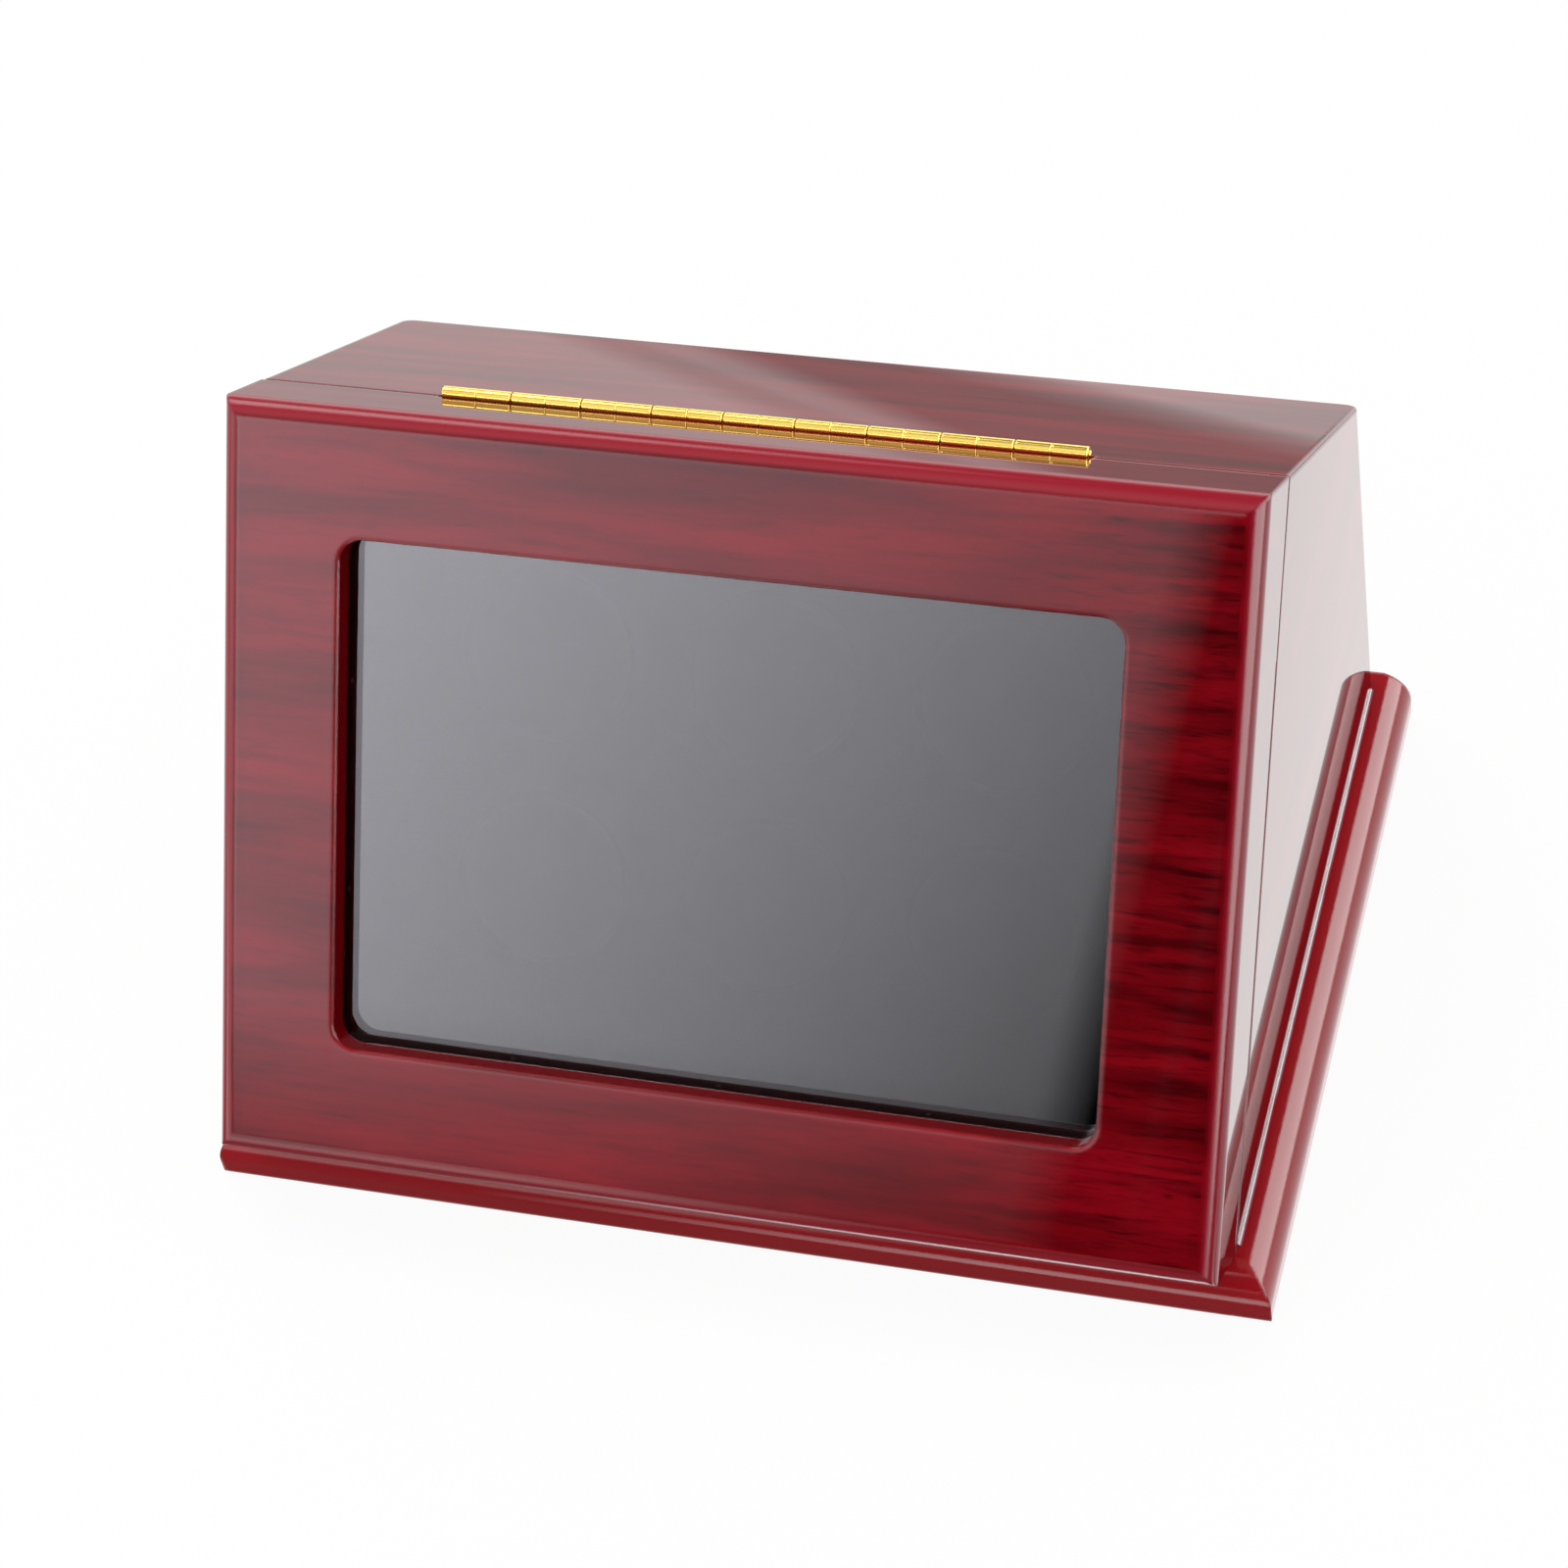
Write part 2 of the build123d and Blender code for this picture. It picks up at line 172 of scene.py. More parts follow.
def grainColour(tree, coords, values, strength):
    broad = addNode(tree, "ShaderNodeMapping", {"Vector": coords, "Scale": every(values["band"])})
    bands = addNode(tree, "ShaderNodeTexNoise", {
        "Vector": broad.outputs[0], "Scale": 1, "Detail": 3, "Roughness": 0.5, "Distortion": 0.5})
    colour = addNode(tree, "ShaderNodeValToRGB", {"Fac": bands.outputs["Fac"]},
                     stops=values["tones"]).outputs[0]
    for mark in values["marks"]:
        low, high = mark["span"]
        along = addNode(tree, "ShaderNodeMapping", {"Vector": coords, "Scale": every(mark["size"])})
        figure = addNode(tree, "ShaderNodeTexNoise", {
            "Vector": along.outputs[0], "Scale": 1, "Detail": 3, "Roughness": 0.55, "Distortion": 0.3})
        found = addNode(tree, "ShaderNodeMapRange", {
            "Value": figure.outputs["Fac"], "From Min": low, "From Max": high, "To Max": mark["depth"]},
            interpolation_type="SMOOTHSTEP")
        factor = addNode(tree, "ShaderNodeMath", {0: found.outputs[0], 1: strength}, operation="MULTIPLY")
        colour = addNode(tree, "ShaderNodeMix", {
            "Factor": factor.outputs[0], "A": colour, "B": linear(values["vessel"])},
            data_type="RGBA").outputs[2]
    return colour


def lacquerCoat(tree, shader, colour, values):
    softened = addNode(tree, "ShaderNodeBevel", {"Radius": values["soften"] * mm},
                       samples=values["softenSamples"]).outputs[0]
    setInputs(tree, shader, {
        "Base Color": colour, "Roughness": values["stainRoughness"], "Specular IOR Level": 0.0,
        "Coat Weight": 1.0, "Coat Roughness": values["coatRoughness"], "Coat IOR": values["coatIndex"],
        "Normal": softened, "Coat Normal": softened})


def lacquerAlong(name, turn, values, strength=1.0, plainShare=0.0):
    # The plain share hides the figure under sprayed red, as on a routed moulding.
    finish, tree, shader, coords = newFinish(name)
    turned = addNode(tree, "ShaderNodeMapping", {"Vector": coords, "Rotation": turn})
    colour = grainColour(tree, turned.outputs[0], values, strength)
    mixed = addNode(tree, "ShaderNodeMix", {
        "Factor": plainShare, "A": colour, "B": linear(mouldingValues["red"])}, data_type="RGBA")
    lacquerCoat(tree, shader, mixed.outputs[2], values)
    return finish


def reachPastFace(tree, place, door):
    # Distance past the face when that is drawn in by its corner radius, so the face's rounded outline
    # is where it equals that radius. The third length is above any depth, so that depth never counts.
    inner = door["rounding"] + door["faceCorner"]
    half = tuple(side / 2 - inner * mm for side in doorSize) + (1,)
    spread = addNode(tree, "ShaderNodeVectorMath", {0: place}, operation="ABSOLUTE")
    beyond = addNode(tree, "ShaderNodeVectorMath", {0: spread.outputs[0], 1: half}, operation="SUBTRACT")
    corner = addNode(tree, "ShaderNodeVectorMath", {0: beyond.outputs[0], 1: (0, 0, 0)},
                     operation="MAXIMUM")
    reach = addNode(tree, "ShaderNodeVectorMath", {0: corner.outputs[0]}, operation="LENGTH")
    return reach.outputs["Value"]


def lacquerDoor(name, values, door):
    # The face carries the veneer and its rounded rim is sprayed plain red; the window's wall gets that
    # red darkened, a painted shade for the opening's recess.
    finish, tree, shader, coords = newFinish(name)
    turned = addNode(tree, "ShaderNodeMapping", {
        "Vector": coords, "Rotation": frontTurn, "Location": frontShift}).outputs[0]
    parts = addNode(tree, "ShaderNodeSeparateXYZ", {"Vector": turned})
    reach = reachPastFace(tree, turned, door)
    outside = addNode(tree, "ShaderNodeMath", {0: reach, 1: door["faceCorner"] * mm},
                      operation="GREATER_THAN")
    smudged = addNode(tree, "ShaderNodeMapRange", {
        "Value": parts.outputs["X"], "From Min": door["smudgeFrom"] * mm,
        "From Max": door["smudgeTo"] * mm, "To Min": 1.0, "To Max": door["smudge"]})
    calm = addNode(tree, "ShaderNodeMapRange", {
        "Value": outside.outputs[0], "To Min": 1.0, "To Max": door["sideStrength"]})
    strength = addNode(tree, "ShaderNodeMath", {0: smudged.outputs[0], 1: calm.outputs[0]},
                       operation="MULTIPLY")
    colour = grainColour(tree, turned, values, strength.outputs[0])
    shade = addNode(tree, "ShaderNodeMapRange", {
        "Value": reach, "From Min": (door["faceCorner"] - door["edgeShadeWidth"]) * mm,
        "From Max": door["faceCorner"] * mm, "To Max": door["edgeShade"]},
        interpolation_type="SMOOTHSTEP")
    colour = addNode(tree, "ShaderNodeMix", {
        "Factor": shade.outputs[0], "A": colour, "B": linear(values["vessel"])},
        data_type="RGBA").outputs[2]
    depths = []
    for span in ("paintFrom", "paintTo", "wallFrom"):
        start, full = door[span]
        depths.append(addNode(tree, "ShaderNodeMapRange", {
            "Value": parts.outputs["Z"], "From Min": -start * mm, "From Max": -full * mm}).outputs[0])
    rim = addNode(tree, "ShaderNodeMath", {0: depths[0], 1: depths[1]}, operation="SUBTRACT")
    rimShare = addNode(tree, "ShaderNodeMath", {0: rim.outputs[0], 1: outside.outputs[0]},
                       operation="MULTIPLY")
    colour = addNode(tree, "ShaderNodeMix", {
        "Factor": rimShare.outputs[0], "A": colour, "B": linear(door["edgeRed"])},
        data_type="RGBA").outputs[2]
    # Painted shade: the window's wall takes the darker red.
    wallShadeShare = addNode(tree, "ShaderNodeMath", {0: depths[2], 1: outside.outputs[0]},
                        operation="SUBTRACT", use_clamp=True)
    colour = addNode(tree, "ShaderNodeMix", {
        "Factor": wallShadeShare.outputs[0], "A": colour, "B": linear(door["wallShadeRed"])},
        data_type="RGBA").outputs[2]
    lacquerCoat(tree, shader, colour, values)
    return finish


# Drawn yellow brass, buffed and clear coated: rich smooth gold, a little uneven along its length.
brassValues = {"tones": ((0.3, "#f0c75c"), (0.6, "#fbd96f")), "draw": (26, 2.2, 2.2),
               "roughness": 0.14, "soften": 0.6, "softenSamples": 6}


def brassFinish():
    finish, tree, shader, coords = newFinish("buffed_brass")
    along = addNode(tree, "ShaderNodeMapping", {"Vector": coords, "Scale": every(brassValues["draw"])})
    marks = addNode(tree, "ShaderNodeTexNoise", {"Vector": along.outputs[0], "Scale": 1, "Detail": 2})
    tone = addNode(tree, "ShaderNodeValToRGB", {"Fac": marks.outputs["Fac"]},
                   stops=brassValues["tones"])
    softened = addNode(tree, "ShaderNodeBevel", {"Radius": brassValues["soften"] * mm},
                       samples=brassValues["softenSamples"])
    setInputs(tree, shader, {"Base Color": tone.outputs[0], "Metallic": 1.0,
                             "Roughness": brassValues["roughness"], "Normal": softened.outputs[0]})
    return finish


# Zinc plated steel wire and screws: cool grey, slightly cloudy.
steelValues = {"tones": ((0.35, "#8d9096"), (0.65, "#b9bcc0")), "patch": (1.6, 1.6, 1.6),
               "roughness": 0.32}


def steelFinish():
    finish, tree, shader, coords = newFinish("zinc_plated_steel")
    patch = addNode(tree, "ShaderNodeMapping", {"Vector": coords, "Scale": every(steelValues["patch"])})
    clouds = addNode(tree, "ShaderNodeTexNoise", {"Vector": patch.outputs[0], "Scale": 1, "Detail": 3})
    tone = addNode(tree, "ShaderNodeValToRGB", {"Fac": clouds.outputs["Fac"]},
                   stops=steelValues["tones"])
    setInputs(tree, shader, {"Base Color": tone.outputs[0], "Metallic": 1.0,
                             "Roughness": steelValues["roughness"]})
    return finish


# Float glass, wiped clean: it shows the black inside and mirrors the room on both its faces.
glassValues = {"tint": "#ffffff", "index": 1.52}


def glassFinish():
    finish, tree, shader, _ = newFinish("float_glass")
    setInputs(tree, shader, {"Base Color": linear(glassValues["tint"]), "Roughness": 0.0,
                             "IOR": glassValues["index"], "Transmission Weight": 1.0})
    return finish


# Nylon flock blown on to glue: short black nap that drinks the light, with a faint grey bloom.
flockValues = {"tones": ((0.15, "#0c0c0d"), (0.4, "#222224")), "nap": (0.7, 0.7, 0.7),
               "patch": (14, 14, 14), "bump": 0.2, "bumpStrength": 0.15}


def flockFinish():
    finish, tree, shader, coords = newFinish("black_nylon_flock")
    fine = addNode(tree, "ShaderNodeMapping", {"Vector": coords, "Scale": every(flockValues["nap"])})
    nap = addNode(tree, "ShaderNodeTexNoise", {
        "Vector": fine.outputs[0], "Scale": 1, "Detail": 4, "Roughness": 0.7})
    wide = addNode(tree, "ShaderNodeMapping", {"Vector": coords, "Scale": every(flockValues["patch"])})
    patches = addNode(tree, "ShaderNodeTexNoise", {"Vector": wide.outputs[0], "Scale": 1, "Detail": 2})
    both = addNode(tree, "ShaderNodeMath", {0: nap.outputs["Fac"], 1: patches.outputs["Fac"]},
                   operation="MULTIPLY")
    tone = addNode(tree, "ShaderNodeValToRGB", {"Fac": both.outputs[0]},
                   stops=flockValues["tones"])
    bump = addNode(tree, "ShaderNodeBump", {
        "Height": nap.outputs["Fac"], "Strength": flockValues["bumpStrength"],
        "Distance": flockValues["bump"] * mm})
    setInputs(tree, shader, {
        "Base Color": tone.outputs[0], "Roughness": 1.0, "Specular IOR Level": 0.0,
        "Normal": bump.outputs[0]})
    return finish


# Ramin glazing bead, stained near black: thin satin brown with the open pores still showing.
beadValues = {"tones": ((0.35, "#0c0203"), (0.6, "#1d0506")), "pore": (14, 0.5, 0.5),
              "bump": 0.05, "bumpStrength": 0.2, "roughness": 0.38}


def beadFinish():
    finish, tree, shader, coords = newFinish("stained_ramin")
    along = addNode(tree, "ShaderNodeMapping", {"Vector": coords, "Scale": every(beadValues["pore"])})
    pores = addNode(tree, "ShaderNodeTexNoise", {"Vector": along.outputs[0], "Scale": 1, "Detail": 4})
    tone = addNode(tree, "ShaderNodeValToRGB", {"Fac": pores.outputs["Fac"]},
                   stops=beadValues["tones"])
    bump = addNode(tree, "ShaderNodeBump", {
        "Height": pores.outputs["Fac"], "Strength": beadValues["bumpStrength"],
        "Distance": beadValues["bump"] * mm})
    setInputs(tree, shader, {"Base Color": tone.outputs[0], "Roughness": beadValues["roughness"],
                             "Normal": bump.outputs[0]})
    return finish


# Planed pine, left bare: pale straw with darker summer growth along the strip.
pineValues = {"tones": ((0.42, "#d9b988"), (0.62, "#a9794a")), "ring": (2.6, 2.6, 60), "roughness": 0.7}


def pineFinish():
    finish, tree, shader, coords = newFinish("planed_pine")
    along = addNode(tree, "ShaderNodeMapping", {"Vector": coords, "Scale": every(pineValues["ring"])})
    rings = addNode(tree, "ShaderNodeTexNoise", {
        "Vector": along.outputs[0], "Scale": 1, "Detail": 3, "Distortion": 0.8})
    tone = addNode(tree, "ShaderNodeValToRGB", {"Fac": rings.outputs["Fac"]},
                   stops=pineValues["tones"])
    setInputs(tree, shader, {"Base Color": tone.outputs[0], "Roughness": pineValues["roughness"]})
    return finish


# Cast polyurethane bumper: water clear, soft, with a dull skin.
bumperValues = {"clear": "#eef2f0", "index": 1.49, "roughness": 0.12}


def bumperFinish():
    finish, tree, shader, _ = newFinish("clear_polyurethane")
    setInputs(tree, shader, {"Base Color": linear(bumperValues["clear"]), "IOR": bumperValues["index"],
                             "Roughness": bumperValues["roughness"], "Transmission Weight": 0.9})
    return finish


# Needled wool felt, pressed and glued on: flat charcoal with loose lighter hairs.
feltValues = {"tones": ((0.35, "#161617"), (0.65, "#303033")), "fibre": (0.9, 0.9, 0.9),
              "bump": 0.2, "bumpStrength": 0.6, "corner": 3, "cornerSteps": 6,
              "edgeRound": 0.25, "edgeSteps": 3, "levelWithin": 0.001}


def feltFinish():
    finish, tree, shader, coords = newFinish("pressed_wool_felt")
    fine = addNode(tree, "ShaderNodeMapping", {"Vector": coords, "Scale": every(feltValues["fibre"])})
    hairs = addNode(tree, "ShaderNodeTexNoise", {
        "Vector": fine.outputs[0], "Scale": 1, "Detail": 6, "Roughness": 0.75, "Distortion": 2.5})
    tone = addNode(tree, "ShaderNodeValToRGB", {"Fac": hairs.outputs["Fac"]},
                   stops=feltValues["tones"])
    bump = addNode(tree, "ShaderNodeBump", {
        "Height": hairs.outputs["Fac"], "Strength": feltValues["bumpStrength"],
        "Distance": feltValues["bump"] * mm})
    setInputs(tree, shader, {
        "Base Color": tone.outputs[0], "Roughness": 1.0, "Specular IOR Level": 0.1, "Sheen Weight": 0.25,
        "Sheen Roughness": 0.6, "Normal": bump.outputs[0]})
    return finish


acrossTurn = (0, 0, 0)
depthTurn = (0, 0, math.pi / 2)
doorLacquer = lacquerDoor("polyester_lacquer_on_veneer_door", veneerValues, doorValues)
acrossLacquer = lacquerAlong("polyester_lacquer_on_veneer_across", acrossTurn, veneerValues, strength=0.9)
sideLacquer = lacquerAlong("polyester_lacquer_on_veneer_side", depthTurn, veneerValues)
baseLacquer = lacquerAlong("polyester_lacquer_on_moulding", acrossTurn, veneerValues,
                           mouldingValues["strength"], mouldingValues["plainShare"])
brass = brassFinish()
steel = steelFinish()
glass = glassFinish()
flock = flockFinish()
bead = beadFinish()
pine = pineFinish()
bumper = bumperFinish()
felt = feltFinish()

finishOf = {
    "base_plate": baseLacquer,
    "side_panel_left": sideLacquer,
    "side_panel_right": sideLacquer,
    "top_panel": acrossLacquer,
    "back_panel": acrossLacquer,
    "front_sill": acrossLacquer,
    "base_screws": steel,
    "side_lining_left": flock,
    "side_lining_right": flock,
    "top_lining": flock,
    "floor_lining": flock,
    "ball_tray": flock,
    "tray_cleat_left": pine,
    "tray_cleat_right": pine,
    "door_bumpers": bumper,
    "hinge_case_leaf": brass,
    "hinge_pin": brass,
    "hinge_case_screws": brass,
    "door_frame": doorLacquer,
    "door_glass": glass,
    "glass_bead_top": bead,
    "glass_bead_right": bead,
    "glass_bead_bottom": bead,
    "glass_bead_left": bead,
    "glass_bead_pins": steel,
    "hinge_door_leaf": brass,
    "hinge_door_screws": brass,
}
for name, finish in finishOf.items():
    for materialSlot in nodes[name].material_slots:
        materialSlot.material = finish
print("finishes on", len(finishOf), "pieces")


def newObject(name, shape):
    # Makes a scene object of a finished shape, and frees the shape.
    mesh = bpy.data.meshes.new(name)
    shape.to_mesh(mesh)
    shape.free()
    made = bpy.data.objects.new(name, mesh)
    bpy.context.scene.collection.objects.link(made)
    return made


def makeFelt():
    low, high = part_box("base_felt")
    size = high - low
    shape = bmesh.new()
    bmesh.ops.create_grid(shape, x_segments=1, y_segments=1, size=0.5)
    bmesh.ops.scale(shape, vec=(size.x, size.y, 1), verts=shape.verts)
    bmesh.ops.bevel(shape, geom=shape.verts[:], offset=feltValues["corner"] * mm, affect="VERTICES",
                    segments=feltValues["cornerSteps"], profile=0.5, material=-1)
    bmesh.ops.translate(shape, vec=((low.x + high.x) / 2, (low.y + high.y) / 2, low.z), verts=shape.verts)
    raised = bmesh.ops.extrude_face_region(shape, geom=shape.faces[:])
    upper = [part for part in raised["geom"] if isinstance(part, bmesh.types.BMVert)]
    bmesh.ops.translate(shape, vec=(0, 0, size.z), verts=upper)
    bmesh.ops.recalc_face_normals(shape, faces=shape.faces)
    within = feltValues["levelWithin"] * mm
    rims = [edge for edge in shape.edges if abs(edge.verts[0].co.z - edge.verts[1].co.z) < within]
    bmesh.ops.bevel(shape, geom=rims, offset=feltValues["edgeRound"] * mm, affect="EDGES",
                    segments=feltValues["edgeSteps"], profile=0.5, material=-1)
    bmesh.ops.recalc_face_normals(shape, faces=shape.faces)
    piece = newObject("felt_foot", shape)
    piece.data.materials.append(felt)
    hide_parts("base_felt")
    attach(piece, "case")


makeFelt()
print("felt foot laid")


# A fine bead of lacquer stands in the corner where each side meets the base plate.
footBeadValues = {"radius": 0.8, "frontRoom": 3.0, "backRoom": 4.0, "steps": 6,
                  # Tones from the lacquer's red to a pale pink that is painted highlight
                  "tones": ((0.34, "#8a3440"), (0.46, "#9a7a82")), "patch": (3, 24, 3),
                  "roughness": 0.2, "coatRoughness": 0.03}


def footBeadPaintedHighlightFinish():
    # Lacquer that has run together, wet-looking: its cloudy pink over the red is a painted highlight, on
    # top of what its coat mirrors.
    finish, tree, shader, coords = newFinish("pooled_lacquer_painted_highlight")
    along = addNode(tree, "ShaderNodeMapping", {
        "Vector": coords, "Scale": every(footBeadValues["patch"])})
    clouds = addNode(tree, "ShaderNodeTexNoise", {"Vector": along.outputs[0], "Scale": 1, "Detail": 3})
    tone = addNode(tree, "ShaderNodeValToRGB", {"Fac": clouds.outputs["Fac"]},
                   stops=footBeadValues["tones"])
    setInputs(tree, shader, {"Base Color": tone.outputs[0], "Roughness": footBeadValues["roughness"],
                             "Coat Weight": 1.0, "Coat Roughness": footBeadValues["coatRoughness"],
                             "Coat IOR": veneerValues["coatIndex"]})
    return finish


def makeFootBead(side, finish):
    panelName = "side_panel_left" if side < 0 else "side_panel_right"
    low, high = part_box(panelName)
    wall = low.x if side < 0 else high.x
    radius = footBeadValues["radius"] * mm
    start = low.y + footBeadValues["frontRoom"] * mm
    end = high.y - footBeadValues["backRoom"] * mm
    shape = bmesh.new()
    toe = shape.verts.new((wall + side * radius, start, low.z))
    hollow = Vector((wall + side * radius, start, low.z + radius))
    bmesh.ops.spin(shape, geom=[toe], cent=hollow, axis=(0, side, 0), angle=math.pi / 2,
                   steps=footBeadValues["steps"], use_merge=False)
    heel = shape.verts.new((wall, start, low.z))
    shape.verts.ensure_lookup_table()
    curve = sorted((v for v in shape.verts if v is not heel), key=lambda v: v.co.z)
    section = shape.faces.new([heel] + curve)
    for edge in [edge for edge in shape.edges if not edge.link_faces]:
        shape.edges.remove(edge)
    drawn = bmesh.ops.extrude_face_region(shape, geom=[section])
    far = [part for part in drawn["geom"] if isinstance(part, bmesh.types.BMVert)]
    bmesh.ops.translate(shape, vec=(0, end - start, 0), verts=far)
    bmesh.ops.recalc_face_normals(shape, faces=shape.faces)
    piece = newObject("foot_bead_left" if side < 0 else "foot_bead_right", shape)
    piece.data.materials.append(finish)
    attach(piece, "case")


footBead = footBeadPaintedHighlightFinish()
makeFootBead(-1, footBead)
makeFootBead(1, footBead)
print("lacquer beads run")


# Studio: pale floor and white room, with cards that only the shiny surfaces see.
studioValues = {
    "floorHalf": 4000,
    "floorGrey": "#bcbcbc",  # as the pieces see it, so that their undersides stay dark
    "floorGlow": 0.9,  # share of the floor that is plain white, so that its shadow stays faint
    "floorWhite": 1.05,
    "roomLevel": 0.75,
    "horizonLevel": 2.4,
    "horizonSpan": (0.05, 0.5),  # of a direction's height, from the horizon's level to the ceiling's
    "ceilingLevel": (1.1, 0.2),  # in front and behind
    "ceilingSpan": (-0.2, 0.4),
    "hatchTowards": (-0.473, 0.473, 0.743),  # bright opening high behind on the left
    "hatchSpan": (0.955, 0.992),
    "hatchLevel": 6,
    "overheadSize": 900,
    "overheadPlace": (-250, 100, 1500),
    "overheadPower": 9,  # watts
}
frontCardValues = {
    "away": 1500,
    "across": (-1600, 1400),
    "up": (-1200, 450),
    "colour": "#f8f6ff",
    "level": 2.1,  # straight out from the middle of the face's top edge
    "slope": (-5.5, 3.5),  # change for each metre across and up
    "rightEdge": (-113, 0.176),  # where it crosses the face's top line, and how it leans
    "rightSpan": (-60, 100),  # from that edge, over which it goes dark but for one paler stripe
    "rightStops": ((0.25, "#ffffff"), (0.46, "#1c1c1c"), (0.65, "#1c1c1c"), (0.7, "#5c5c5c"),
                   (0.76, "#1c1c1c")),
    # Top, foot and left edges: the card's axis, the span, and the share of light before and after it
    "edges": (("Y", (85, 115), (1.0, 0.1)), ("Y", (-830, -680), (0.1, 1.0)),
              ("X", (-1250, -1120), (0.1, 1.0))),
    # Low on the left, where the moulding and the door's lower edge mirror it
    "lowGlow": {"level": 3.0, "spans": {"Y": (-940, -870), "X": (-560, -300)}},
}
rightCardValues = {"place": 700, "along": (-560, 950), "up": (4, 650), "level": (8.0, 9.0),
                   "change": (-100, 200)}
lyingCardValues = {
    "lift": 0.2,
    "side": {"across": (119, 560), "along": (-89, 480), "level": 1.6},
    # Dim in front: painted shade on the floor next to the case
    "front": {"across": (-900, 900), "along": (-620, -89), "level": 0.2},
    # A painted bright strip of floor light under the door's lower edge, which sets in towards the right
    "strip": {"level": 4.0, "along": (-109, -98), "across": (-70, 60)},
    # Further out the painted floor light is bright on the left
    "out": {"level": 2.8, "spans": {"Y": (-160, -128), "X": (-80, 20)}},
    "back": {"across": (-480, 119), "along": (262, 640)},
    # Two straight shadow edges on it: their normals, the span across them, and the greys over that span
    "near": {"normal": (0.6, -0.8), "span": (-385, -330), "stops": (
        (0.0, "#e7e7e7"), (0.24, "#c9c9c9"), (0.35, "#c8c8c8"), (0.45, "#d4d4d4"), (0.56, "#cecece"),
        (0.69, "#b0b0b0"), (0.82, "#959595"))},
    "far": {"normal": (0.33, -0.94), "span": (-346, -322), "stops": (
        (0.0, "#959595"), (0.42, "#b5b5b5"), (0.625, "#cbcbcb"), (0.875, "#efefef"))},
}


def unlessFromWithin(tree, level):
    # Nothing for rays that left a dull surface and then went out through the glass,
    # so that the inside stays dark.
    path = addNode(tree, "ShaderNodeLightPath")
    inside = addNode(tree, "ShaderNodeMath", {
        0: path.outputs["Diffuse Depth"], 1: path.outputs["Is Transmission Ray"]}, operation="MULTIPLY")
    outside = addNode(tree, "ShaderNodeMath", {0: 1.0, 1: inside.outputs[0]},
                      operation="SUBTRACT", use_clamp=True)
    return addNode(tree, "ShaderNodeMath", {0: level, 1: outside.outputs[0]},
                   operation="MULTIPLY").outputs[0]


def makeRoom():
    # Plain white when seen; mirrored, it has a bright horizon, a dimmer ceiling and one bright opening.
    world = bpy.data.worlds.new("white_room")
    bpy.context.scene.world = world
    world.use_nodes = True
    tree = world.node_tree
    path = addNode(tree, "ShaderNodeLightPath")
    seen = addNode(tree, "ShaderNodeMath", {0: path.outputs["Is Camera Ray"],
                                            1: path.outputs["Is Transmission Ray"]}, operation="MAXIMUM")
    plain = addNode(tree, "ShaderNodeMapRange", {
        "Value": seen.outputs[0], "To Min": studioValues["roomLevel"], "To Max": 1.0})
    direction = addNode(tree, "ShaderNodeTexCoord").outputs["Generated"]
    parts = addNode(tree, "ShaderNodeSeparateXYZ", {"Vector": direction})
    inFront, behind = studioValues["ceilingLevel"]
    start, end = studioValues["ceilingSpan"]
    ceiling = addNode(tree, "ShaderNodeMapRange", {
        "Value": parts.outputs["Y"], "From Min": start, "From Max": end,
        "To Min": inFront, "To Max": behind})
    start, end = studioValues["horizonSpan"]
    height = addNode(tree, "ShaderNodeMapRange", {
        "Value": parts.outputs["Z"], "From Min": start, "From Max": end})
    mirrored = addNode(tree, "ShaderNodeMix", {
        "Factor": height.outputs[0], "A": studioValues["horizonLevel"], "B": ceiling.outputs[0]})
    towards = addNode(tree, "ShaderNodeVectorMath", {0: direction, 1: studioValues["hatchTowards"]},
                      operation="DOT_PRODUCT")
    low, high = studioValues["hatchSpan"]
    hatch = addNode(tree, "ShaderNodeMapRange", {
        "Value": towards.outputs["Value"], "From Min": low, "From Max": high,
        "To Max": studioValues["hatchLevel"]}, interpolation_type="SMOOTHSTEP")
    both = addNode(tree, "ShaderNodeMath", {0: mirrored.outputs[0], 1: hatch.outputs[0]}, operation="ADD")
    level = addNode(tree, "ShaderNodeMix", {
        "Factor": path.outputs["Is Glossy Ray"], "A": plain.outputs[0], "B": both.outputs[0]})
    outward = unlessFromWithin(tree, level.outputs[0])
    setInputs(tree, tree.nodes["Background"], {"Color": (1, 1, 1, 1), "Strength": outward})


def flatCard(name, across, up, turn=None):
    # A rectangle between two pairs of millimetres, in its own X and Y.
    shape = bmesh.new()
    bmesh.ops.create_grid(shape, x_segments=1, y_segments=1, size=0.5)
    width, height = across[1] - across[0], up[1] - up[0]
    bmesh.ops.scale(shape, vec=(width * mm, height * mm, 1), verts=shape.verts)
    bmesh.ops.translate(shape, vec=(sum(across) / 2 * mm, sum(up) / 2 * mm, 0), verts=shape.verts)
    card = newObject(name, shape)
    if turn:
        card.matrix_world = turn
    return card


